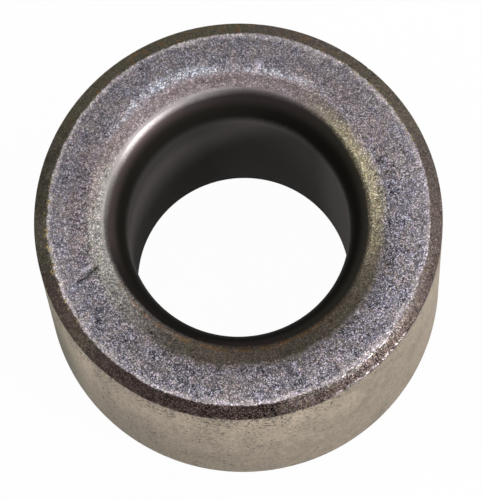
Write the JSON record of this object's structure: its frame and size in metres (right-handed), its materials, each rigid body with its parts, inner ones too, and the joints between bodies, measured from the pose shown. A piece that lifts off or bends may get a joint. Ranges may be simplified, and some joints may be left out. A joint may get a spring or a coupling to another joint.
{
  "type": "pilot bushing",
  "caption": "Plain sintered sleeve with bevelled ends and a rounded bore mouth, pressed into a crankshaft to carry a shaft's tip.",
  "frame": {"origin": "centre of the plain end face, on the axis, where the bushing stands", "axes": "+Z along the bore's axis, from the plain end to the rounded mouth; X and Y alike, as the form is round"},
  "size_m": [0.0278, 0.0278, 0.0191],
  "materials": {
    "sintered_iron": "sintered, oiled, satin"
  },
  "bodies": {
    "root": {"pilot_bushing": "sintered_iron"}
  },
  "joints": []
}
